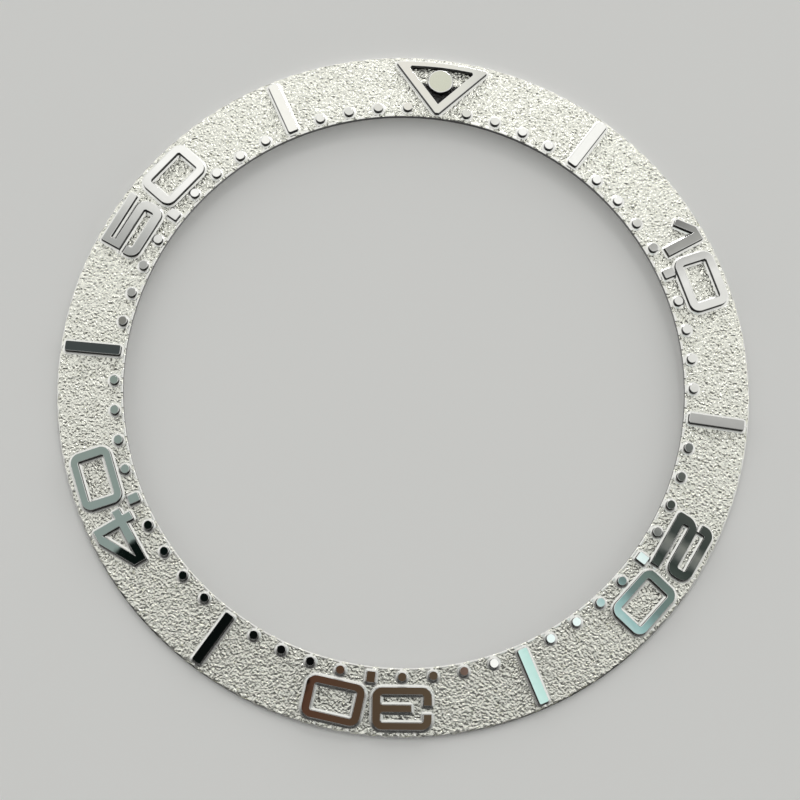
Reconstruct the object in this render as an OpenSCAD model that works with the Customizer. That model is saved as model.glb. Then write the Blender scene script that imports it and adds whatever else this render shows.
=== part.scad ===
// Sloping bezel insert for a diver's watch. A thin dished ring carries raised minute
// markers, each one a polished piece that stands in a shallow seat cut into the ring's
// grained face. Minutes run clockwise from the triangle, seen from the front.
// The front faces +Z, the triangle lies on +Y, and z = 0 is the flat seat on the back.

/* [Ring] */
// Outside diameter
ring_od = 38; // [34:0.1:44]
// Width of the minute track, from the opening to the feet of the digits
track_w = 0.99; // [0.9:0.01:1.2]
// Fall of the face towards the rim, in degrees
face_slope = 8; // [5:0.5:14]
// Thickness of the dished plate, measured upright
plate_t = 0.4; // [0.35:0.01:0.6]
// Width of the flat seat round the back
land_w = 0.55; // [0.3:0.05:0.8]
// Chamfer on the front edge of the rim
rim_chamfer = 0.1; // [0.04:0.01:0.14]
// Broken edges elsewhere on the ring
edge_break = 0.04; // [0.02:0.01:0.06]

/* [Markers] */
// Height of every marker above the face
marker_rise = 0.36; // [0.2:0.01:0.5]
// Depth of the seats below the face
seat_depth = 0.1; // [0.05:0.01:0.18]
// Clearance between a marker and the wall of its seat
seat_gap = 0.02; // [0.01:0.005:0.04]
// Distance from the opening to the inner ends of the batons and short markers
inner_inset = 0.25; // [0.2:0.01:0.35]

/* [Minute dots] */
// Diameter of a dot
dot_d = 0.5; // [0.3:0.01:0.54]
// Distance from the opening to the dots' centres
dot_inset = 0.47; // [0.4:0.01:0.54]

/* [Batons] */
// Width of a baton
baton_w = 0.56; // [0.4:0.01:0.8]
// Distance from the rim to the outer ends
baton_outer_inset = 0.28; // [0.2:0.01:0.6]
// Corner radius at the ends
baton_corner_radius = 0.12; // [0.05:0.01:0.18]

/* [Short markers] */
// Width of a short marker
short_w = 0.5; // [0.4:0.01:0.6]
// Gap between its outer end and the feet of the digits
short_gap = 0.12; // [0.06:0.01:0.2]
// Corner radius at the ends
short_corner_radius = 0.08; // [0.04:0.01:0.15]

/* [Triangle] */
// Half of the angle at its point, in degrees
tri_half_angle = 41; // [40:0.5:43]
// Distance from the opening to where its sides would meet
tri_apex_inset = 0.06; // [0.02:0.01:0.12]
// Distance from the opening to its blunt point
tri_tip_inset = 0.18; // [0.14:0.01:0.22]
// Distance from the rim to its outer side
tri_outer_inset = 0.37; // [0.3:0.01:0.5]
// Width of its two straight sides
tri_side_t = 0.44; // [0.3:0.01:0.48]
// Width of its curved outer side
tri_outer_t = 0.29; // [0.2:0.01:0.36]
// Radius of its two outer corners
tri_corner_radius = 0.12; // [0.05:0.01:0.18]
// Radius of the two outer corners of its opening
hole_corner_radius = 0.12; // [0.05:0.01:0.18]

/* [Pip] */
// Gap between the pip and the outer side of the triangle
pip_gap = 0.13; // [0.04:0.01:0.2]
// Gap between the pip and the straight sides of the triangle
pip_side_gap = 0.22; // [0.04:0.01:0.3]

/* [Numerals] */
// Width of a digit
digit_w = 3.2; // [2.8:0.05:3.4]
// Width of the digit one
one_w = 1.7; // [1.4:0.05:2]
// Width of its stem
one_stem_t = 0.53; // [0.35:0.01:0.6]
// Height of a digit
digit_h = 2.26; // [2:0.01:2.6]
// Gap between the two digits of a numeral, at mid height
digit_gap = 0.48; // [0.35:0.01:0.7]
// Distance from the rim to the tops of the digits
digit_inset = 0.4; // [0.3:0.01:0.6]
// Width of the upright strokes
side_t = 0.47; // [0.35:0.01:0.55]
// Width of the level strokes
bar_t = 0.41; // [0.3:0.01:0.46]
// Radius of the outer corners
corner_radius = 0.55; // [0.3:0.01:0.7]
// Radius of the corners inside a digit
counter_radius = 0.12; // [0.06:0.01:0.18]
// Width of the slots that open the counters of two, three and five
slot_w = 0.28; // [0.2:0.01:0.32]
// Radius of the heel of the digit two
heel_radius = 0.75; // [0.55:0.01:0.85]
// Room between the left uprights of the digit three and its middle stroke
bay_w = 0.62; // [0.4:0.01:0.9]
// Slope of the flag on the digit one, in degrees
flag_angle = 39; // [35:1:42]
// Slope of the long stroke of the digit four, in degrees
four_angle = 30; // [28:0.5:31]
// How far the left ends of the digits four and five fall short of the others
left_step = 0.09; // [0:0.01:0.15]

/* [Hidden] */
$fn = 64;
// How far cutters and layers run past what they meet
reach = 1;
minute_step = 360 / 60;
// The band is as wide as the minute track, the digits and the margin outside them
band_w = track_w + digit_h + digit_inset;
ring_id = ring_od - 2 * band_w;
ring_r = ring_od / 2;
bore_r = ring_id / 2;
rim_h = plate_t - land_w * tan(face_slope);
marker_inner_r = bore_r + inner_inset;
short_outer_r = bore_r + track_w - short_gap;
baton_outer_r = ring_r - baton_outer_inset;
dot_r = bore_r + dot_inset;
tri_apex_r = bore_r + tri_apex_inset;
tri_outer_r = ring_r - tri_outer_inset;
// Where the triangle's opening has its point and its curved side, and the pip that fits in it
hole_apex_r = tri_apex_r + tri_side_t / sin(tri_half_angle);
hole_outer_r = tri_outer_r - tri_outer_t;
hole_room = hole_outer_r - hole_apex_r - pip_gap - pip_side_gap / sin(tri_half_angle);
pip_d = 2 * hole_room / (1 + 1 / sin(tri_half_angle));
pip_r = hole_outer_r - pip_gap - pip_d / 2;
digit_r = ring_r - digit_inset - digit_h / 2;
half_w = digit_w / 2;
half_h = digit_h / 2;

BATONS = [5 : 10 : 55];
NUMERALS = [10 : 10 : 50];
DOT_GROUPS = [0 : 5 : 55];
DOTS_EACH = 4;
DIGIT_WORDS = ["zero", "one", "two", "three", "four", "five"];

function two_figures(m) = m < 10 ? str("0", m) : str(m);
function baton_name(m) = str("baton_", two_figures(m));
function short_name(m) = str("short_marker_", m);
function tens_name(m) = str("numeral_", m, "_", DIGIT_WORDS[m / 10]);
function units_name(m) = str("numeral_", m, "_zero");
function dots_name(m) = str("dots_", two_figures(m + 1), "_to_", two_figures(m + DOTS_EACH));

// Height of the sloping face at a radius
function face_z(r) = rim_h + (ring_r - r) * tan(face_slope);

// Four equal corner radii
function all_round(r) = [r, r, r, r];

// Half section of the bare ring
module ring_section() {
    inner_r = bore_r + edge_break;
    polygon([
        [bore_r, face_z(bore_r) - plate_t + edge_break],
        [inner_r, face_z(inner_r) - plate_t],
        [ring_r - land_w, 0],
        [ring_r - edge_break, 0],
        [ring_r, edge_break],
        [ring_r, rim_h - rim_chamfer],
        [ring_r - rim_chamfer, face_z(ring_r - rim_chamfer)],
        [inner_r, face_z(inner_r)],
        [bore_r, face_z(bore_r) - edge_break]
    ]);
}

// Layer that follows the sloping face, between two heights above it
module face_layer(low, high) {
    in_r = bore_r - reach;
    out_r = ring_r + reach;
    rotate_extrude()
        polygon([
            [in_r, face_z(in_r) + low],
            [out_r, face_z(out_r) + low],
            [out_r, face_z(out_r) + high],
            [in_r, face_z(in_r) + high]
        ]);
}

// Flat outline raised into a piece with sides straight up and a foot and top along the face
module standing(low, high) {
    intersection() {
        face_layer(low, high);
        translate([0, 0, -reach])
            linear_extrude(face_z(bore_r) + marker_rise + 2 * reach)
                children();
    }
}

// A marker, from the floor of its seat to its polished top
module marker() {
    color("gainsboro")
        standing(-seat_depth, marker_rise)
            children();
}

// Turns what is drawn at twelve o'clock to a minute
module at_minute(m) {
    rotate(-minute_step * m)
        children();
}

// Puts a digit drawn round its own middle on the numeral circle, offset along it from a minute
module on_digit_circle(m, offset) {
    rotate(-minute_step * m - offset / digit_r * 180 / PI)
        translate([0, digit_r])
            children();
}

// Rectangle grown by g all round; corner radii run anticlockwise from the lower left
module panel(low, high, radii, g) {
    size = high - low + [2 * g, 2 * g];
    corners = [[0, 0], [size.x, 0], size, [0, size.y]];
    translate(low - [g, g])
        difference() {
            square(size);
            for (k = [0 : 3])
                if (radii[k] + g > 0 && radii[k] > 0)
                    translate(corners[k])
                        rotate(90 * k)
                            corner_waste(radii[k] + g);
        }
}

// What is cut off a square corner to leave it round
module corner_waste(r) {
    difference() {
        translate([-r, -r])
            square(2 * r);
        translate([r, r])
            circle(r);
    }
}

module dot_outline(m, g) {
    at_minute(m)
        translate([0, dot_r])
            circle(dot_d / 2 + g);
}

module baton_outline(m, g) {
    half = baton_w / 2;
    at_minute(m)
        panel([-half, marker_inner_r], [half, baton_outer_r], all_round(baton_corner_radius), g);
}

module short_outline(m, g) {
    half = short_w / 2;
    at_minute(m)
        panel([-half, marker_inner_r], [half, short_outer_r], all_round(short_corner_radius), g);
}

// Wedge that opens outwards from a point on +Y, its sides moved out by g
module wedge(apex_r, g) {
    point_r = apex_r - g / sin(tri_half_angle);
    depth = ring_r + reach - point_r;
    spread = depth * tan(tri_half_angle);
    polygon([[0, point_r], [spread, point_r + depth], [-spread, point_r + depth]]);
}

module triangle_outline(g) {
    difference() {
        rounded_wedge(tri_apex_r, tri_outer_r, tri_corner_radius, g);
        circle(bore_r + tri_tip_inset - g);
        rounded_wedge(hole_apex_r, hole_outer_r, hole_corner_radius, -g);
    }
}

// Wedge that ends in an arc round the ring's axis, with rounded corners there, grown by g all round
module rounded_wedge(apex_r, outer_r, corner_r, g) {
    difference() {
        intersection() {
            wedge(apex_r, g);
            circle(outer_r + g);
        }
        wedge_corner_waste(apex_r, outer_r, corner_r, g);
        mirror([1, 0])
            wedge_corner_waste(apex_r, outer_r, corner_r, g);
    }
}

// What is cut off the wedge's corner on the right to leave it round
module wedge_corner_waste(apex_r, outer_r, corner_r, g) {
    // The rounding's middle lies a little close to both sides, so that it crosses them cleanly
    middle_inset = 0.97 * corner_r;
    middle_r = outer_r - middle_inset;
    // Angle between the straight side and the radius through that middle
    lean = asin((apex_r * sin(tri_half_angle) + middle_inset) / middle_r);
    rotate(lean - tri_half_angle)
        translate([0, middle_r])
            difference() {
                polygon(reach * [
                    [0, 0],
                    [cos(lean), -sin(lean)],
                    [cos(lean) / (1 - sin(lean)), 1],
                    [0, 1]
                ]);
                circle(corner_r + g);
            }
}

module pip_outline(g) {
    translate([0, pip_r])
        circle(pip_d / 2 + g);
}

// Closed frame with one counter
module zero_outline(g) {
    inner_x = half_w - side_t;
    inner_y = half_h - bar_t;
    difference() {
        panel([-half_w, -half_h], [half_w, half_h], all_round(corner_radius), g);
        panel([-inner_x, -inner_y], [inner_x, inner_y], all_round(counter_radius), -g);
    }
}

// Upright stem with a slanting flag cut square at its end
module one_outline(g) {
    flag_t = bar_t;
    end_x = -one_w / 2;
    stem_x = one_w / 2 - one_stem_t;
    // Height at which the flag's outer edge starts, so that its end comes a third of the way down
    end_y = half_h - digit_h / 3;
    shoulder_x = end_x + (half_h - end_y) / tan(flag_angle);
    low_x = end_x + flag_t * sin(flag_angle);
    low_y = end_y - flag_t * cos(flag_angle);
    crotch_y = low_y + (stem_x - low_x) * tan(flag_angle);
    polygon(grown([
        [stem_x, -half_h],
        [one_w / 2, -half_h],
        [one_w / 2, half_h],
        [shoulder_x, half_h],
        [end_x, end_y],
        [low_x, low_y],
        [stem_x, crotch_y]
    ], g));
}

// Hooked bowl over a tray that is open to the right
module two_outline(g) {
    // The middle stroke, which both halves share
    mid_top = bar_t / 2;
    mid_low = mid_top - side_t;
    tray_top = side_t - half_h;
    inner_x = half_w - side_t;
    difference() {
        panel([-half_w, mid_low], [half_w, half_h], [0, corner_radius, corner_radius, corner_radius], g);
        panel([-inner_x, mid_top], [inner_x, half_h - bar_t], all_round(counter_radius), -g);
        panel([-half_w - reach, mid_low - reach], [-inner_x, mid_top + slot_w / 2], all_round(0), -g);
    }
    difference() {
        panel([-half_w, -half_h], [half_w, mid_top], [counter_radius, 0, 0, heel_radius], g);
        panel([-inner_x, tray_top], [half_w + reach, mid_low], [counter_radius, 0, 0, counter_radius], -g);
        panel([0, tray_top], [half_w + reach, mid_top + reach], all_round(0), -g);
    }
}

// Frame with a long middle stroke, open through a slot on the left
module three_outline(g) {
    inner_x = half_w - side_t;
    inner_y = half_h - bar_t;
    difference() {
        panel([-half_w, -half_h], [half_w, half_h], all_round(corner_radius), g);
        panel([-inner_x, bar_t / 2], [inner_x, inner_y], all_round(counter_radius), -g);
        panel([-inner_x, -inner_y], [inner_x, -bar_t / 2], all_round(counter_radius), -g);
        panel([-inner_x, -inner_y], [bay_w - inner_x, inner_y], all_round(counter_radius), -g);
        panel([-half_w - reach, -slot_w / 2], [bay_w / 2 - inner_x, slot_w], all_round(0), -g);
    }
}

// Long slanting stroke, stem and cross stroke round a three-cornered counter
module four_outline(g) {
    // The cross stroke, with the stem's foot below it
    cross_low = bar_t - half_h;
    cross_top = cross_low + side_t;
    left = left_step - half_w;
    // The stem, with the cross stroke's short end to its right
    stem_right = half_w - bar_t;
    stem_left = stem_right - side_t;
    // Where the long stroke's outer edge meets the top and the left end
    top_x = stem_left - bar_t + counter_radius;
    heel_y = half_h - (top_x - left) * tan(four_angle);
    // The counter's long side runs parallel to that edge
    slant = side_t / cos(four_angle);
    counter_top = half_h + (stem_left - top_x) * tan(four_angle) - slant;
    counter_left = stem_left - (counter_top - cross_top) / tan(four_angle);
    difference() {
        union() {
            polygon(grown([
                [left, cross_low],
                [stem_right, cross_low],
                [stem_right, half_h],
                [top_x, half_h],
                [left, heel_y]
            ], g));
            panel([stem_left, -half_h], [stem_right, cross_top], all_round(0), g);
            panel([stem_left, cross_low], [half_w, cross_top], all_round(0), g);
        }
        polygon(grown([
            [counter_left, cross_top],
            [stem_left, cross_top],
            [stem_left, counter_top]
        ], -g));
    }
}

// Square-shouldered top over a round bowl, open through a slot on the left
module five_outline(g) {
    // The middle stroke, which both halves share
    mid_top = bar_t;
    mid_low = mid_top - side_t;
    inner_x = half_w - side_t;
    difference() {
        panel([left_step - half_w, mid_low], [half_w, half_h], all_round(0), g);
        panel([-inner_x, mid_top], [half_w + reach, half_h - bar_t], all_round(0), -g);
        panel([0, mid_low - reach], [half_w + reach, half_h - bar_t], all_round(0), -g);
    }
    difference() {
        panel([-half_w, -half_h], [half_w, mid_top], [corner_radius, corner_radius, corner_radius, 0], g);
        panel([-inner_x, side_t - half_h], [inner_x, mid_low], all_round(counter_radius), -g);
        panel([-half_w - reach, mid_low - slot_w], [side_t / 2 - inner_x, mid_low], all_round(0), -g);
        panel([-half_w - reach, mid_low], [-inner_x, mid_top + reach], all_round(0), -g);
    }
}

// Moves every side of an anticlockwise outline out by g, with mitred corners
function grown(points, g) = [
    for (k = [0 : len(points) - 1])
        let (
            n = len(points),
            before = side_normal(points[(k + n - 1) % n], points[k]),
            after = side_normal(points[k], points[(k + 1) % n])
        )
        points[k] + g * (before + after) / (1 + before * after)
];

// Outward normal of one side of an anticlockwise outline
function side_normal(a, b) = [b.y - a.y, a.x - b.x] / norm(b - a);

// Outline of the first digit of the numeral at a minute
module tens_outline(m, g) {
    tens = m / 10;
    if (tens == 1) one_outline(g);
    if (tens == 2) two_outline(g);
    if (tens == 3) three_outline(g);
    if (tens == 4) four_outline(g);
    if (tens == 5) five_outline(g);
}

// The pair of digits is centred on its minute as a whole
function tens_w(m) = m == 10 ? one_w : digit_w;
function pair_w(m) = tens_w(m) + digit_gap + digit_w;

module placed_tens(m, g) {
    on_digit_circle(m, (tens_w(m) - pair_w(m)) / 2)
        tens_outline(m, g);
}

module placed_units(m, g) {
    on_digit_circle(m, (pair_w(m) - digit_w) / 2)
        zero_outline(g);
}

// Outlines of all the seats, which follow the markers with the clearance added
module seat_outlines() {
    triangle_outline(seat_gap);
    pip_outline(seat_gap);
    for (m = BATONS)
        baton_outline(m, seat_gap);
    for (m = NUMERALS) {
        short_outline(m, seat_gap);
        placed_tens(m, seat_gap);
        placed_units(m, seat_gap);
    }
    for (m = DOT_GROUPS, k = [1 : DOTS_EACH])
        dot_outline(m + k, seat_gap);
}

module insert_ring() {
    color("silver")
        difference() {
            rotate_extrude()
                ring_section();
            standing(-seat_depth, marker_rise)
                seat_outlines();
        }
}

module triangle() {
    marker()
        triangle_outline(0);
}

module triangle_pip() {
    marker()
        pip_outline(0);
}

module baton(m) {
    marker()
        baton_outline(m, 0);
}

module short_marker(m) {
    marker()
        short_outline(m, 0);
}

module numeral_tens(m) {
    marker()
        placed_tens(m, 0);
}

module numeral_units(m) {
    marker()
        placed_units(m, 0);
}

module minute_dots(m) {
    for (k = [1 : DOTS_EACH])
        marker()
            dot_outline(m + k, 0);
}

insert_ring();
triangle();
triangle_pip();
for (m = BATONS)
    baton(m);
for (m = NUMERALS) {
    short_marker(m);
    numeral_tens(m);
    numeral_units(m);
}
for (m = DOT_GROUPS)
    minute_dots(m);
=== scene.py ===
# Sloping bezel insert of grained steel with polished minute markers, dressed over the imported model.
import math
import bmesh
import bpy
import numpy as np
from mathutils import Euler, Matrix, Vector, kdtree, noise
from mathutils.bvhtree import BVHTree
from mathutils.geometry import delaunay_2d_cdt


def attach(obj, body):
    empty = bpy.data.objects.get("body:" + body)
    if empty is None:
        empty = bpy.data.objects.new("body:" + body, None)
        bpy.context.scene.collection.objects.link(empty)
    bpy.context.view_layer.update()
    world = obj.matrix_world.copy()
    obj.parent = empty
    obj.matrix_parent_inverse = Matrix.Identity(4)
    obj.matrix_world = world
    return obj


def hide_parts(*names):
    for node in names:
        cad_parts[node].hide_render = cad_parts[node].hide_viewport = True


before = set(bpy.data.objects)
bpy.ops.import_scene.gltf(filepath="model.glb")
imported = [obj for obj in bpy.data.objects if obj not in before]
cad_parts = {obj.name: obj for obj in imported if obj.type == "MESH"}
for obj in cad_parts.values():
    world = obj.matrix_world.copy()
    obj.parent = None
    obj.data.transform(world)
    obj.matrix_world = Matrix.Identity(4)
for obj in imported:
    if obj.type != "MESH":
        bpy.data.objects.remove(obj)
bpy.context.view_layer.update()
scene = bpy.context.scene
mm = 0.001
faceSlope = math.radians(8)  # fall of the insert's face towards its rim
joinGap = 0.0001 * mm  # corners this near each other are one
coneGap = 0.01 * mm  # corners this near the highest cone lie on it
print("loaded the packed model,", len(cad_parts), "nodes")


# Height of a point above the cone that the sloping face lies on, to a constant
def coneHeight(point):
    return point.z + math.hypot(point.x, point.y) * math.tan(faceSlope)


# Unit normal of that cone at a point
def coneNormal(point):
    out = Vector((point.x, point.y, 0)).normalized() * math.sin(faceSlope)
    return Vector((out.x, out.y, math.cos(faceSlope)))


# A node's mesh, copied and with its loose triangles joined
def copyOfNode(node):
    shape = bmesh.new()
    shape.from_mesh(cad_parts[node].data)
    bmesh.ops.remove_doubles(shape, verts=shape.verts, dist=joinGap)
    return shape


# Height of the highest cone that a shape reaches
def highestCone(shape):
    return max(coneHeight(v.co) for v in shape.verts)


# The faces that lie on that cone, which are a marker's top
def topFaces(shape):
    floor = highestCone(shape) - coneGap
    return [f for f in shape.faces if min(coneHeight(v.co) for v in f.verts) > floor]


# The edges round a set of a shape's faces
def outlineOf(shape, faces):
    inside = set(faces)
    return [e for e in shape.edges if sum(f in inside for f in e.link_faces) == 1]


# Shades a shape smooth, with edges past an angle sharp, apart from those between two of the skipped faces
def markSharp(shape, degrees, skipped=()):
    limit = math.radians(degrees)
    left = set(skipped)
    for face in shape.faces:
        face.smooth = True
    for edge in shape.edges:
        if len(edge.link_faces) == 2 and not left.issuperset(edge.link_faces):
            edge.smooth = edge.calc_face_angle(0) < limit


# Makes a piece of a finished bmesh and has it stand for its node
def addPiece(name, shape, node, materials):
    mesh = bpy.data.meshes.new(name)
    shape.to_mesh(mesh)
    shape.free()
    for material in materials:
        mesh.materials.append(material)
    piece = bpy.data.objects.new(name, mesh)
    scene.collection.objects.link(piece)
    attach(piece, "root")
    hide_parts(node)
    return piece


# Starts a material: its nodes, a way to join sockets, and its Principled shader
def startMaterial(name, metallic=0):
    material = bpy.data.materials.new(name)
    material.use_nodes = True
    tree = material.node_tree
    shader = tree.nodes["Principled BSDF"]
    shader.inputs["Metallic"].default_value = metallic
    return material, tree.nodes, tree.links.new, shader


# Noise on object coordinates, whose size is the width of its blotches
def noiseNode(nodes, join, size, detail, roughness=0.6, stretch=None, turn=0.0):
    place = nodes.new("ShaderNodeTexCoord")
    pattern = nodes.new("ShaderNodeTexNoise")
    pattern.inputs["Scale"].default_value = 1 / size
    pattern.inputs["Detail"].default_value = detail
    pattern.inputs["Roughness"].default_value = roughness
    if stretch is None:
        join(place.outputs["Object"], pattern.inputs["Vector"])
    else:
        mapping = nodes.new("ShaderNodeMapping")
        mapping.inputs["Scale"].default_value = stretch
        mapping.inputs["Rotation"].default_value = (0, 0, turn)
        join(place.outputs["Object"], mapping.inputs["Vector"])
        join(mapping.outputs["Vector"], pattern.inputs["Vector"])
    return pattern.outputs["Fac"]


# Turns a factor into a range of values. Most noise lies between the start and end given here.
def rangeNode(nodes, join, source, low, high, start=0.3, end=0.7):
    spread = nodes.new("ShaderNodeMapRange")
    spread.inputs["From Min"].default_value = start
    spread.inputs["From Max"].default_value = end
    spread.inputs["To Min"].default_value = low
    spread.inputs["To Max"].default_value = high
    join(source, spread.inputs["Value"])
    return spread.outputs["Result"]


# Turns a factor into a blend of two colours, each a fixed one or another node's
def blendNode(nodes, join, source, first, second):
    blend = nodes.new("ShaderNodeMix")
    blend.data_type = "RGBA"
    for name, colour in (("A", first), ("B", second)):
        if isinstance(colour, tuple):
            blend.inputs[name].default_value = (*colour, 1)
        else:
            join(colour, blend.inputs[name])
    join(source, blend.inputs["Factor"])
    return blend.outputs["Result"]


# Turns a factor into relief, which may lie on other relief
def bumpNode(nodes, join, source, depth, under=None):
    bump = nodes.new("ShaderNodeBump")
    bump.inputs["Distance"].default_value = depth
    join(source, bump.inputs["Height"])
    if under is not None:
        join(under, bump.inputs["Normal"])
    return bump.outputs["Normal"]


# One step of arithmetic on numbers and other nodes' values
def mathNode(nodes, join, operation, *values):
    step = nodes.new("ShaderNodeMath")
    step.operation = operation
    for socket, value in zip(step.inputs, values):
        if isinstance(value, (int, float)):
            socket.default_value = value
        else:
            join(value, socket)
    return step.outputs[0]


# Gives a shader a finish's colour and roughness, each spread between its two values by a factor
def spreadFinish(nodes, join, shader, look, tone, wear):
    join(blendNode(nodes, join, tone, look["bright"], look["dull"]), shader.inputs["Base Color"])
    join(rangeNode(nodes, join, wear, look["smooth"], look["rough"]), shader.inputs["Roughness"])


# Grained face: bright steel with a coarse blasted grain and a fine sparkle in it
grainLook = {
    "bright": (0.96, 0.96, 0.885),
    "dull": (0.8, 0.8, 0.73),
    "toneSize": 0.13 * mm,
    "smooth": 0.1,
    "rough": 0.22,
    "roughSize": 0.1 * mm,
    "grainSize": 0.05 * mm,
    "grainDepth": 0.014 * mm,
    "sparkleSize": 0.03 * mm,
    "sparkleDepth": 0.006 * mm,
}


def grainedMaterial():
    look = grainLook
    material, nodes, join, shader = startMaterial("grainedFace", metallic=1)
    tone = rangeNode(nodes, join, noiseNode(nodes, join, look["toneSize"], detail=4), 0, 1)
    wear = noiseNode(nodes, join, look["roughSize"], detail=2)
    spreadFinish(nodes, join, shader, look, tone, wear)
    coarse = bumpNode(nodes, join, noiseNode(nodes, join, look["grainSize"], detail=4), look["grainDepth"])
    fine = noiseNode(nodes, join, look["sparkleSize"], detail=2)
    join(bumpNode(nodes, join, fine, look["sparkleDepth"], under=coarse), shader.inputs["Normal"])
    return material


# Turned steel of the rim and the back: fine rings left by the tool
turnedLook = {
    "bright": (0.82, 0.82, 0.8),
    "dull": (0.72, 0.72, 0.7),
    "toneSize": 0.5 * mm,
    "ringWidth": math.tau * 0.07 * mm,
    "ringDepth": 0.0015 * mm,
    "ringWobble": 0.6,
    "ringDetail": 2,
    "ringDetailScale": 2,
    "smooth": 0.2,
    "rough": 0.34,
}
waveTurn = 20  # the angle in radians that a wave texture passes in a length of one, at a scale of one


def turnedMaterial():
    look = turnedLook
    material, nodes, join, shader = startMaterial("turnedSteel", metallic=1)
    tone = noiseNode(nodes, join, look["toneSize"], detail=4)
    spreadFinish(nodes, join, shader, look, tone, tone)
    place = nodes.new("ShaderNodeTexCoord")
    rings = nodes.new("ShaderNodeTexWave")
    rings.wave_type = "RINGS"
    rings.rings_direction = "Z"
    rings.inputs["Scale"].default_value = math.tau / (look["ringWidth"] * waveTurn)
    rings.inputs["Distortion"].default_value = look["ringWobble"]
    rings.inputs["Detail"].default_value = look["ringDetail"]
    rings.inputs["Detail Scale"].default_value = look["ringDetailScale"]
    join(place.outputs["Object"], rings.inputs["Vector"])
    join(bumpNode(nodes, join, rings.outputs["Fac"], look["ringDepth"]), shader.inputs["Normal"])
    return material


# Polished markers: mirror steel with a trace of orange peel and faint hairlines
polishLook = {
    "bright": (0.9, 0.9, 0.89),
    "dull": (0.84, 0.84, 0.83),
    "smooth": 0.01,
    "rough": 0.03,
    "hazeSize": 0.35 * mm,
    "lineLength": 1.2 * mm,
    "lineStretch": (1, 40, 1),
    "lineTurn": 0.6,
    "lineDepth": 0.00002 * mm,
    "peelSize": 0.6 * mm,
    "peelDepth": 0.0008 * mm,
}

# The pip's top has a pale green cast and a softer polish
pipLook = {
    **polishLook,
    "bright": (0.73, 0.75, 0.67),
    "dull": (0.69, 0.71, 0.63),
    "smooth": 0.08,
    "rough": 0.14,
}

# The markers' feet are bright, with some haze
footLook = {
    **polishLook,
    "bright": (0.95, 0.95, 0.92),
    "dull": (0.86, 0.86, 0.83),
    "smooth": 0.2,
    "rough": 0.3,
}


def polishedMaterial(name, look):
    material, nodes, join, shader = startMaterial(name, metallic=1)
    haze = noiseNode(nodes, join, look["hazeSize"], detail=3)
    spreadFinish(nodes, join, shader, look, haze, haze)
    peel = bumpNode(nodes, join, noiseNode(nodes, join, look["peelSize"], detail=1), look["peelDepth"])
    lines = noiseNode(nodes, join, look["lineLength"], detail=2, roughness=0.5, stretch=look["lineStretch"],
                      turn=look["lineTurn"])
    join(bumpNode(nodes, join, lines, look["lineDepth"], under=peel), shader.inputs["Normal"])
    return material


# Upright walls of the markers, their seats and the opening, rough and near black: the dark tone is painted
# shade, standing in for the shade these walls show
paintedShadeWallLook = {
    "bright": (0.09, 0.09, 0.09),
    "dull": (0.05, 0.05, 0.05),
    "smooth": 0.3,
    "rough": 0.5,
    "grainSize": 0.06 * mm,
    "grainDepth": 0.003 * mm,
}


def paintedShadeWallMaterial():
    look = paintedShadeWallLook
    material, nodes, join, shader = startMaterial("markerWallPaintedShade", metallic=1)
    tone = noiseNode(nodes, join, look["grainSize"], detail=3)
    spreadFinish(nodes, join, shader, look, tone, tone)
    join(bumpNode(nodes, join, tone, look["grainDepth"]), shader.inputs["Normal"])
    return material


grained = grainedMaterial()
turned = turnedMaterial()
polished = polishedMaterial("polishedMarker", polishLook)
pipTop = polishedMaterial("polishedPip", pipLook)
wall = paintedShadeWallMaterial()
foot = polishedMaterial("polishedFoot", footLook)
print("made the steel finishes")

# The ring: its sloping face is laid again in grain-size triangles, each corner at its own height, and it
# rises in a smooth foot round each seat
ring = {
    "grainStep": 0.08 * mm,
    "quickSteps": 3,
    "jitter": 0.35,  # of the step
    "height": 0.014 * mm,
    "blotch": 0.115 * mm,  # size of the slower unevenness that the grain rides on
    "blotchHeight": 0.034 * mm,
    "edgeRoom": 0.55,  # of the step, kept free of grain beside a bare edge
    "footRoom": 0.3,  # of the step, kept free beside a foot
    "footWidth": 0.12 * mm,
    "footHeight": 0.031 * mm,
    "footRows": 2,
    "footShare": 0.93,  # of a row's distance, nearer than which no other seat lies
    "pipSeat": 0.95 * mm,  # corners this near the pip's centre are its seat's
    "pipReach": 2.8 * mm,  # and those that face it from this near are the triangle's inner outline
    "edgeHeight": 0.008 * mm,
    "edgeShift": 0.01 * mm,
    "roundGap": 0.001 * mm,  # corners this near the least or greatest radius are the ring's own edge
    "sideStep": 0.01 * mm,  # a step to the side of an edge, which tells where the face lies
    "lookFrom": 10 * mm,  # height to look down from
    "pointGap": 1e-6,  # in millimetres, nearer than which two points are one
    "sharpDegrees": 30,
    "faceAbove": 0.5,  # least upward part of the normals of the face and its chamfers
    "wallBelow": 0.2,  # greatest upward part of a wall's
    "chamferDepth": 0.08 * mm,
    "rimWidth": 0.05 * mm,  # upright faces this near the rim are its own wall, which is turned
    "paintedShadeBelow": 0.03 * mm,  # the painted shade on the floor starts this far below the pip's centre
    "paintedShadeDepth": 1.5 * mm,  # and would end in a point this far below it
    "paintedShadeSpread": 0.93,
    "seed": 12,
}
grainPart, turnedPart, paintedShadePart, footPart = range(4)  # order of the ring's materials


# The ring's sloping face with the chamfers along its two edges
def grainedFaces(shape):
    level = highestCone(shape)
    return [f for f in shape.faces if f.normal.z > ring["faceAbove"]
            and level - coneHeight(f.calc_center_median()) < ring["chamferDepth"]]


# A test that tells whether a place seen from above is on those faces, and not in a seat or the opening
def faceTest():
    shape = copyOfNode("insert_ring")
    face = set(grainedFaces(shape))
    bmesh.ops.delete(shape, geom=[f for f in shape.faces if f not in face], context="FACES")
    plan = BVHTree.FromBMesh(shape)
    shape.free()

    def onFace(x, y):
        return plan.ray_cast(Vector((x, y, ring["lookFrom"])), Vector((0, 0, -1)))[0] is not None

    return onFace


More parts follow.
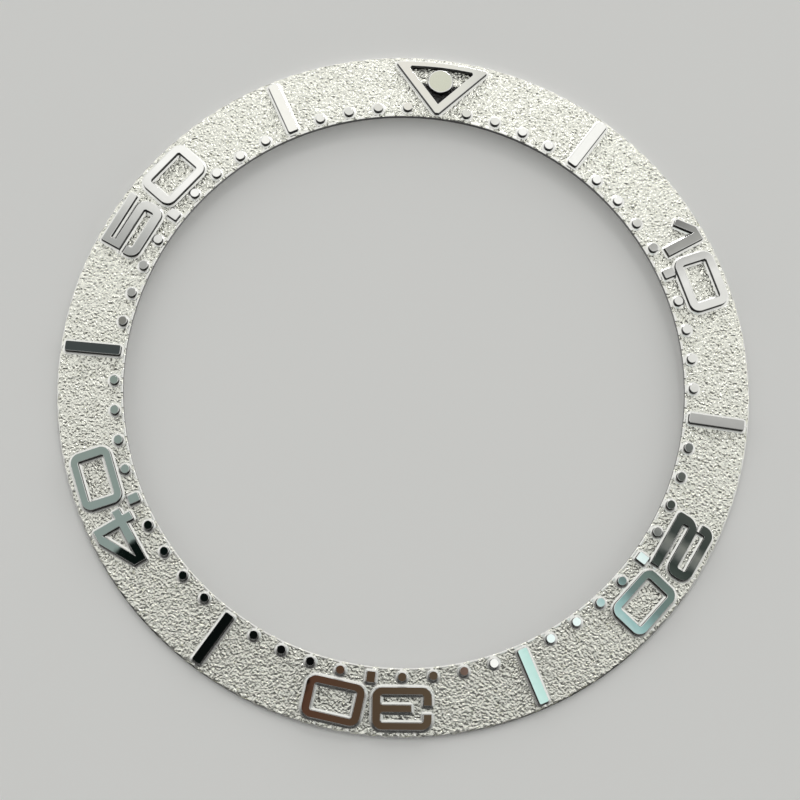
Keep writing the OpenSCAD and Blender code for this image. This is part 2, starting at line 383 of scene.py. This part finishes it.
# A copy of the ring with its sloping face taken out, with the height of the face's cone, and the outline
# that is left, cut into lengths of about a step
def ringWithoutFace(step):
    shape = copyOfNode("insert_ring")
    for edge in outlineOf(shape, grainedFaces(shape)):
        cuts = int(edge.calc_length() / step)
        if cuts:
            bmesh.ops.subdivide_edges(shape, edges=[edge], cuts=cuts)
    face = grainedFaces(shape)
    outline = outlineOf(shape, face)
    level = highestCone(shape)
    bmesh.ops.delete(shape, geom=face, context="FACES")
    shape.verts.index_update()
    return shape, level, outline


# Centre of the pip, seen from above
def pipCentre():
    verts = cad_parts["triangle_pip"].data.vertices
    return sum((v.co for v in verts), Vector((0, 0, 0))).xy / len(verts)


# What laying the face needs to know of its border, most of it in lists in the order of the corners
def studyBorder(outline, level, onFace):
    corners = sorted({v for e in outline for v in e.verts}, key=lambda v: v.index)
    order = {v: k for k, v in enumerate(corners)}
    radii = [math.hypot(v.co.x, v.co.y) for v in corners]
    innerR = min(radii)
    outerR = max(radii)
    inner = [r < innerR + ring["roundGap"] for r in radii]
    outer = [r > outerR - ring["roundGap"] for r in radii]
    # Which way the face lies from each corner
    away = [Vector((0, 0)) for v in corners]
    for edge in outline:
        a, b = (v.co.xy for v in edge.verts)
        side = Vector((b.y - a.y, a.x - b.x)).normalized()
        if not onFace(*((a + b) / 2 + side * ring["sideStep"])):
            side = -side
        for v in edge.verts:
            away[order[v]] += side
    # The ring's own edges, the pip's seat and the triangle's inner outline are bare, with no foot
    pip = pipCentre()
    bare = [a or b for a, b in zip(inner, outer)]
    for k, v in enumerate(corners):
        toPip = pip - v.co.xy
        if toPip.length < ring["pipSeat"] or toPip.length < ring["pipReach"] and away[k].dot(toPip) > 0:
            bare[k] = True
    tree = kdtree.KDTree(len(corners))
    for k, v in enumerate(corners):
        tree.insert((v.co.x, v.co.y, 0), k)
    tree.balance()
    return {
        "corners": corners,
        "lines": [(order[e.verts[0]], order[e.verts[1]]) for e in outline],
        "radii": radii,
        "innerR": innerR,
        "outerR": outerR,
        "inner": inner,
        "outer": outer,
        # How far the two round edges lie below the cone, at the end of their chamfers
        "innerDrop": level - max(coneHeight(v.co) for v, here in zip(corners, inner) if here),
        "outerDrop": level - max(coneHeight(v.co) for v, here in zip(corners, outer) if here),
        "away": away,
        "bare": bare,
        "tree": tree,
    }


# Points of a jittered triangular lattice over the band
def latticePoints(innerR, outerR, step, rng):
    across = np.arange(-outerR, outerR, step)
    along = np.arange(-outerR, outerR, step * math.sqrt(3) / 2)
    x, y = np.meshgrid(across, along)
    x[1::2] += step / 2
    x = x + rng.uniform(-1, 1, x.shape) * step * ring["jitter"]
    y = y + rng.uniform(-1, 1, y.shape) * step * ring["jitter"]
    r = np.hypot(x, y)
    kept = (r > innerR + step / 2) & (r < outerR - step / 2)
    return np.stack([x[kept], y[kept]], 1)


# How far a marker's foot stands above the face, at a distance from its seat
def footRise(gap):
    return ring["footHeight"] * max(0, 1 - gap / ring["footWidth"]) ** 2


# The points inside the border, the grain's first and then rows of them on the feet. Each has its place,
# whether it takes part in the grain (1 or 0), and its rise above the face.
def pointsOnFace(border, step, rng, onFace):
    points = []
    for x, y in latticePoints(border["innerR"], border["outerR"], step, rng):
        _, k, gap = border["tree"].find((x, y, 0))
        room = ring["edgeRoom"] * step if border["bare"][k] else ring["footWidth"] + ring["footRoom"] * step
        if gap > room and onFace(x, y):
            points.append((x, y, 1, 0))
    for k, v in enumerate(border["corners"]):
        if border["bare"][k] or not border["away"][k].length:
            continue
        for row in range(1, ring["footRows"] + 1):
            out = ring["footWidth"] * row / ring["footRows"]
            x, y = v.co.xy + border["away"][k].normalized() * out
            if border["tree"].find((x, y, 0))[2] > ring["footShare"] * out and onFace(x, y):
                points.append((x, y, 0, footRise(out)))
    return points


# Lifts the border's corners to the feet, and roughens those that are bare
def moveBorder(border, edgeLift, edgeShift):
    for k, v in enumerate(border["corners"]):
        v.co.z += edgeLift[k] if border["bare"][k] else ring["footHeight"]
        if border["inner"][k]:
            v.co.xy *= 1 + abs(edgeShift[k]) / border["radii"][k]
        elif border["outer"][k]:
            v.co.xy *= 1 - abs(edgeShift[k]) / border["radii"][k]


# Joins the border's corners and the points with triangles, and gives back the grain's and the feet's
def layFace(shape, level, border, points, rng, onFace):
    corners = border["corners"]
    flat = [v.co.xy / mm for v in corners] + [Vector(point[:2]) / mm for point in points]
    places, _, cells, sources, _, _ = delaunay_2d_cdt(flat, border["lines"], [], 1, ring["pointGap"])
    middles = [sum((places[k] for k in cell), Vector((0, 0))) * mm / 3 for cell in cells]
    cells = [cell for cell, middle in zip(cells, middles) if onFace(*middle)]
    lift = rng.normal(0, ring["height"], len(points))
    edgeLift = rng.normal(0, ring["edgeHeight"], len(corners))
    edgeShift = rng.uniform(-1, 1, len(corners)) * ring["edgeShift"]
    moveBorder(border, edgeLift, edgeShift)
    verts = {}
    onFoot = set()
    for k in sorted({k for cell in cells for k in cell}):
        source = min(sources[k])
        if source < len(corners):
            verts[k] = corners[source]
            if not border["bare"][source]:
                onFoot.add(k)
            continue
        x, y, share, rise = points[source - len(corners)]
        if not share:
            onFoot.add(k)
        place = Vector((x, y, 0)) / ring["blotch"]
        rise += share * (lift[source - len(corners)] + noise.noise(place) * ring["blotchHeight"])
        r = math.hypot(x, y)
        fromInner = r - border["innerR"]
        fromOuter = border["outerR"] - r
        drop = max(0, border["innerDrop"] - fromInner, border["outerDrop"] - fromOuter)
        verts[k] = shape.verts.new((x, y, level - r * math.tan(faceSlope) - drop + rise))
    grain = []
    feet = []
    for cell in cells:
        face = shape.faces.new([verts[k] for k in cell])
        (feet if onFoot.issuperset(cell) else grain).append(face)
    return grain, feet


# Gives each face its material, and turns the new ones face up
def paintRing(shape, border, grain, feet):
    for f in shape.faces:
        out = f.calc_center_median().xy.length
        # The bore and the upright walls take the dark wall material, which is painted shade
        upright = abs(f.normal.z) < ring["wallBelow"] and out < border["outerR"] - ring["rimWidth"]
        f.material_index = paintedShadePart if out < border["innerR"] or upright else turnedPart
    pip = pipCentre()
    for faces, part in ((grain, grainPart), (feet, footPart)):
        for f in faces:
            # Painted shade: the floor between the pip and the point of the triangle takes the dark wall
            # material, in place of the shadow that the pip casts there
            aside, below = pip - f.calc_center_median().xy
            halfWidth = (ring["paintedShadeDepth"] - below) * ring["paintedShadeSpread"]
            f.material_index = paintedShadePart if below > ring["paintedShadeBelow"] and abs(aside) < halfWidth else part
            f.normal_update()
            if f.normal.z < 0:
                f.normal_flip()


def grainedRing():
    rng = np.random.default_rng(ring["seed"])
    step = ring["grainStep"] * 1
    onFace = faceTest()
    shape, level, outline = ringWithoutFace(step)
    border = studyBorder(outline, level, onFace)
    points = pointsOnFace(border, step, rng, onFace)
    grain, feet = layFace(shape, level, border, points, rng, onFace)
    paintRing(shape, border, grain, feet)
    shape.normal_update()
    markSharp(shape, ring["sharpDegrees"], grain)
    for f in grain:
        f.smooth = False
    openEdges = sum(len(e.link_faces) != 2 for e in shape.edges)
    print("laid the grained face,", len(grain), "triangles, and the feet,", len(feet), "triangles")
    print("the ring has", openEdges, "open edges and", len(shape.calc_loop_triangles()), "triangles in all")
    addPiece("insert_ring_grained", shape, "insert_ring", [grained, turned, wall, foot])


grainedRing()

# The markers: the node's form with its top edge broken, and tops that mirror as a true cone, each a trace
# off level. The larger leans are given by node and minute, along the track and outward, in degrees.
marker = {
    "edgeBreak": 0.028 * mm,
    "pipBreak": 0.07 * mm,
    "segments": 3,
    "joinDegrees": 1.5,
    "sharpDegrees": 30,
    "topAbove": 0.985,  # least part of a top's normal along the cone's
    "wallBelow": 0.45,  # greatest upward part of a wall's normal
    "lean": 0.12,
    "leans": {
        ("dots_06_to_09", 9): (0.8, 0),
        ("dots_16_to_19", 19): (-4.3, 0),
        ("short_marker_20", 20): (3.6, 0),
        ("dots_31_to_34", 32): (1, 0),
        ("dots_36_to_39", 39): (-1.3, 0),
        ("dots_46_to_49", 47): (0.8, 0),
        ("dots_46_to_49", 49): (1, 0),
    },
    "seed": 7,
}
breakPart, sidePart, topPart = range(3)  # order of a marker's materials


# The groups of joined faces in a set of faces
def groupsOf(faces):
    left = set(faces)
    groups = []
    for first in faces:
        if first not in left:
            continue
        left.discard(first)
        group = [first]
        for face in group:
            near = [f for e in face.edges for f in e.link_faces if f in left]
            left.difference_update(near)
            group += [f for f in near if f not in group]
        groups.append(group)
    return groups


# Leans each top about its middle, and gives back each middle with its slope. Every top has its draw, so
# that a listed lean changes no other.
def leanTops(tops, node, rng):
    slopes = []
    for group in groupsOf(tops):
        verts = sorted({v for f in group for v in f.verts}, key=lambda v: (v.co.x, v.co.y))
        middle = sum((v.co for v in verts), Vector((0, 0, 0))) / len(verts)
        outward = Vector((middle.x, middle.y, 0)).normalized()
        along = Vector((outward.y, -outward.x, 0))
        minute = round(math.atan2(middle.x, middle.y) / math.tau * 60) % 60
        lean = marker["leans"].get((node, minute), rng.normal(0, marker["lean"], 2))
        slope = along * math.tan(math.radians(lean[0])) + outward * math.tan(math.radians(lean[1]))
        slopes.append((middle, slope))
        for v in verts:
            v.co.z -= (v.co - middle).dot(slope)
    return slopes


def polishedMarker(node, rng):
    isPip = node == "triangle_pip"
    shape = copyOfNode(node)
    bmesh.ops.dissolve_limit(shape, angle_limit=math.radians(marker["joinDegrees"]), verts=shape.verts,
                             edges=shape.edges, use_dissolve_boundaries=False)
    tops = topFaces(shape)
    slopes = leanTops(tops, node, rng)
    width = marker["pipBreak" if isPip else "edgeBreak"]
    bmesh.ops.bevel(shape, geom=outlineOf(shape, tops), offset=width, offset_type="OFFSET",
                    segments=marker["segments"], profile=0.5, affect="EDGES", material=-1,
                    clamp_overlap=True)
    markSharp(shape, marker["sharpDegrees"])
    shape.verts.index_update()
    toward = {}
    for f in shape.faces:
        centre = f.calc_center_median()
        # Walls and the steepest band of the broken edge take the dark wall material, which is painted shade
        f.material_index = sidePart if abs(f.normal.z) < marker["wallBelow"] else breakPart
        if f.normal.dot(coneNormal(centre)) > marker["topAbove"]:
            f.material_index = topPart
            slope = min(slopes, key=lambda known: (known[0] - centre).length)[1]
            for v in f.verts:
                toward[v.index] = (coneNormal(v.co) + slope).normalized()
    piece = addPiece(node + "_polished", shape, node,
                     [polished, wall, pipTop if isPip else polished])
    mesh = piece.data
    mesh.normals_split_custom_set([toward.get(loop.vertex_index, Vector((0, 0, 0))) for loop in mesh.loops])


leanRng = np.random.default_rng(marker["seed"])
for node in sorted(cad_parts):
    if node != "insert_ring":
        polishedMarker(node, leanRng)
print("polished the markers")

# Camera: where the photograph was taken from, nearly overhead on the six o'clock side
view = {
    "place": Vector((-0.58, -19.8, 102.93)) * mm,
    "turn": (10.404, -1.445, 6.592),  # degrees
    "lens": 85.68,
    "sensor": 36,
    "near": 5 * mm,
}

camera = bpy.data.objects.new("camera", bpy.data.cameras.new("camera"))
camera.location = view["place"]
camera.rotation_euler = Euler([math.radians(a) for a in view["turn"]])
camera.data.lens = view["lens"]
camera.data.sensor_width = view["sensor"]
camera.data.clip_start = view["near"]
scene.collection.objects.link(camera)
scene.camera = camera

# Floor: a plain pale sheet that the insert lies on, a hair below its flat seat
floorLook = {
    "size": 1200 * mm,
    "gap": 0.004 * mm,
    "tone": (0.9, 0.9, 0.89),
    "toneFar": (0.88, 0.88, 0.87),
    "toneSize": 30 * mm,
    "rough": 0.7,
    "gloss": 0.2,
}


def paleFloor():
    shape = bmesh.new()
    bmesh.ops.create_grid(shape, x_segments=1, y_segments=1, size=floorLook["size"] / 2,
                          matrix=Matrix.Translation((0, 0, -floorLook["gap"])))
    mesh = bpy.data.meshes.new("floor")
    shape.to_mesh(mesh)
    shape.free()
    floor = bpy.data.objects.new("floor", mesh)
    scene.collection.objects.link(floor)
    material, nodes, join, shader = startMaterial("paleFloor")
    tone = noiseNode(nodes, join, floorLook["toneSize"], detail=2)
    join(blendNode(nodes, join, tone, floorLook["tone"], floorLook["toneFar"]), shader.inputs["Base Color"])
    shader.inputs["Roughness"].default_value = floorLook["rough"]
    shader.inputs["Specular IOR Level"].default_value = floorLook["gloss"]
    # The steel doesn't mirror the floor, so that its underside shows the room too
    ray = nodes.new("ShaderNodeLightPath")
    clear = nodes.new("ShaderNodeBsdfTransparent")
    either = nodes.new("ShaderNodeMixShader")
    join(ray.outputs["Is Glossy Ray"], either.inputs[0])
    join(shader.outputs[0], either.inputs[1])
    join(clear.outputs[0], either.inputs[2])
    join(either.outputs[0], nodes["Material Output"].inputs["Surface"])
    mesh.materials.append(material)


paleFloor()

# Studio: a plain room, dark on the six o'clock side but for a strip at its foot, and lighter towards
# twelve. Its brightness is given by how far a direction leans, from six o'clock (-1) to twelve o'clock (1).
# The tops mirror one narrow circle of it, on which stand white, grey and tinted cards and dark flags, given
# by the minute at which they show.
studio = {
    "room": [(-1, 0.4), (-0.93, 0.3), (-0.8, 0.06), (-0.57, 0), (0, 0.83), (0.3, 0.83), (0.6, 0.74),
             (0.95, 1.1)],
    "roomTint": (1, 1, 0.98),
    "strength": 1.1,
    "backdrop": (0.62, 0.62, 0.615),
    "axisTilt": 10.69,  # this and the next three are in degrees
    "cardsRadius": 25.3,
    "cardsSolid": 2.6,
    "cardsFade": 2.2,
    "rampMinutes": 20,
    "cards": [
        (0, (0.79, 0.78, 0.71)),
        (0.8, (0.76, 0.76, 0.7)),
        (1.2, (0.7, 0.7, 0.65)),
        (1.6, (0.72, 0.72, 0.67)),
        (2.6, (0.97, 0.97, 0.93)),
        (7.3, (0.98, 0.98, 0.95)),
        (7.5, (0.64, 0.64, 0.6)),
        (8, (0.6, 0.6, 0.59)),
        (8.1, (0.18, 0.18, 0.17)),
        (8.6, (0.27, 0.27, 0.26)),
        (9.1, (0.38, 0.38, 0.36)),
        (9.6, (0.6, 0.6, 0.58)),
        (10.2, (0.84, 0.84, 0.81)),
        (10.6, (0.77, 0.77, 0.74)),
        (13.2, (0.77, 0.77, 0.73)),
        (14.2, (0.5, 0.5, 0.48)),
        (14.5, (0.43, 0.43, 0.415)),
        (14.9, (0.38, 0.38, 0.37)),
        (15.4, (0.17, 0.18, 0.17)),
        (17.2, (0.075, 0.085, 0.075)),
        (18.2, (0.045, 0.055, 0.05)),
        (18.5, (0.19, 0.2, 0.18)),
        (18.75, (0.15, 0.16, 0.15)),
        (18.95, (0.035, 0.045, 0.04)),
        (19.4, (0.06, 0.075, 0.065)),
        (19.8, (0.15, 0.2, 0.18)),
        (20, (0.15, 0.21, 0.19)),
        (20.6, (0.16, 0.23, 0.22)),
        (21.2, (0.31, 0.5, 0.49)),
        (22.5, (0.87, 1, 0.98)),
        (24.2, (0.87, 1, 0.98)),
        (24.4, (0.5, 0.76, 0.7)),
        (25.1, (0.71, 0.94, 0.89)),
        (25.3, (0.98, 0.99, 0.95)),
        (26.2, (0.98, 0.99, 0.95)),
        (26.4, (0.22, 0.14, 0.12)),
        (27.4, (0.1, 0.075, 0.05)),
        (30, (0.08, 0.052, 0.032)),
        (31.85, (0.088, 0.042, 0.026)),
        (31.95, (0.003, 0.003, 0.003)),
        (39.05, (0.003, 0.006, 0.005)),
        (39.12, (0.25, 0.31, 0.29)),
        (40, (0.25, 0.31, 0.29)),
        (44.6, (0.24, 0.29, 0.26)),
        (45, (0.05, 0.062, 0.062)),
        (45.7, (0.06, 0.066, 0.066)),
        (46.2, (0.2, 0.2, 0.18)),
        (47.4, (0.27, 0.27, 0.25)),
        (48.6, (0.39, 0.395, 0.38)),
        (49.3, (0.48, 0.485, 0.47)),
        (49.9, (0.65, 0.655, 0.63)),
        (50.4, (0.79, 0.79, 0.76)),
        (51.2, (0.97, 0.97, 0.94)),
        (55.6, (0.97, 0.96, 0.9)),
        (57.2, (0.75, 0.75, 0.71)),
        (58.4, (0.74, 0.73, 0.68)),
        (59, (0.82, 0.8, 0.73)),
        (60, (0.79, 0.78, 0.71)),
    ],
}


# Gives a colour ramp its stops, from pairs of place and colour
def fillRamp(ramp, pairs):
    stops = ramp.color_ramp.elements
    while len(stops) > 1:
        stops.remove(stops[-1])
    for k, (place, colour) in enumerate(pairs):
        stop = stops.new(place) if k else stops[0]
        stop.position = place
        stop.color = (*colour, 1)


# Part of the circle of cards, from a minute on. A ramp takes 32 stops, so the circle needs three.
def partOfCards(nodes, join, turn, start):
    ramp = nodes.new("ShaderNodeValToRGB")
    minutes = studio["rampMinutes"]
    join(rangeNode(nodes, join, turn, 0, 1, start / 60, (start + minutes) / 60), ramp.inputs["Fac"])
    fillRamp(ramp, [((minute - start) / minutes, colour) for minute, colour in studio["cards"]
                    if start <= minute <= start + minutes])
    return ramp.outputs["Color"]


# Splits a direction into its three parts
def splitNode(nodes, join, direction):
    split = nodes.new("ShaderNodeSeparateXYZ")
    join(direction, split.inputs["Vector"])
    return split.outputs


def studioWorld():
    world = bpy.data.worlds.new("studio")
    world.use_nodes = True
    nodes = world.node_tree.nodes
    join = world.node_tree.links.new
    direction = nodes.new("ShaderNodeTexCoord").outputs["Generated"]
    room = nodes.new("ShaderNodeValToRGB")
    lean = splitNode(nodes, join, direction)["Y"]
    join(rangeNode(nodes, join, lean, 0, 1, -1, 1), room.inputs["Fac"])
    tint = studio["roomTint"]
    fillRamp(room, [((y + 1) / 2, [light * part for part in tint]) for y, light in studio["room"]])
    # Round the cards' axis, a direction has its minute and its angle away from the axis
    tilted = nodes.new("ShaderNodeMapping")
    tilted.inputs["Rotation"].default_value = (math.radians(studio["axisTilt"]), 0, 0)
    join(direction, tilted.inputs["Vector"])
    part = splitNode(nodes, join, tilted.outputs["Vector"])
    angle = mathNode(nodes, join, "ARCTAN2", part["X"], part["Y"])
    turn = mathNode(nodes, join, "WRAP", rangeNode(nodes, join, angle, -0.5, 0.5, -math.pi, math.pi), 1, 0)
    cards = partOfCards(nodes, join, turn, 0)
    for start in range(studio["rampMinutes"], 60, studio["rampMinutes"]):
        past = mathNode(nodes, join, "GREATER_THAN", turn, start / 60)
        cards = blendNode(nodes, join, past, cards, partOfCards(nodes, join, turn, start))
    away = mathNode(nodes, join, "ARCCOSINE", part["Z"])
    off = mathNode(nodes, join, "SUBTRACT", away, math.radians(studio["cardsRadius"]))
    gap = mathNode(nodes, join, "ABSOLUTE", off)
    solid = math.radians(studio["cardsSolid"])
    inCards = rangeNode(nodes, join, gap, 1, 0, solid, solid + math.radians(studio["cardsFade"]))
    lit = blendNode(nodes, join, inCards, room.outputs["Color"], cards)
    seen = nodes.new("ShaderNodeLightPath").outputs["Is Camera Ray"]
    background = nodes["Background"]
    join(blendNode(nodes, join, seen, lit, studio["backdrop"]), background.inputs["Color"])
    background.inputs["Strength"].default_value = studio["strength"]
    scene.world = world


studioWorld()

# Lamp: one small soft lamp behind twelve o'clock, which draws the markers' shadows
key = {
    "from": (0.1, 0.85, 0.75),
    "away": 350 * mm,
    "size": 40 * mm,
    "power": 0.06,
}


def softLamp(name, values):
    lamp = bpy.data.lights.new(name, "AREA")
    lamp.size = values["size"]
    lamp.energy = values["power"]
    holder = bpy.data.objects.new(name, lamp)
    toward = Vector(values["from"]).normalized()
    holder.location = toward * values["away"]
    holder.rotation_euler = toward.to_track_quat("Z", "Y").to_euler()
    scene.collection.objects.link(holder)


softLamp("key", key)
scene.view_settings.view_transform = "Standard"
print("set the camera, floor, studio and lamp")
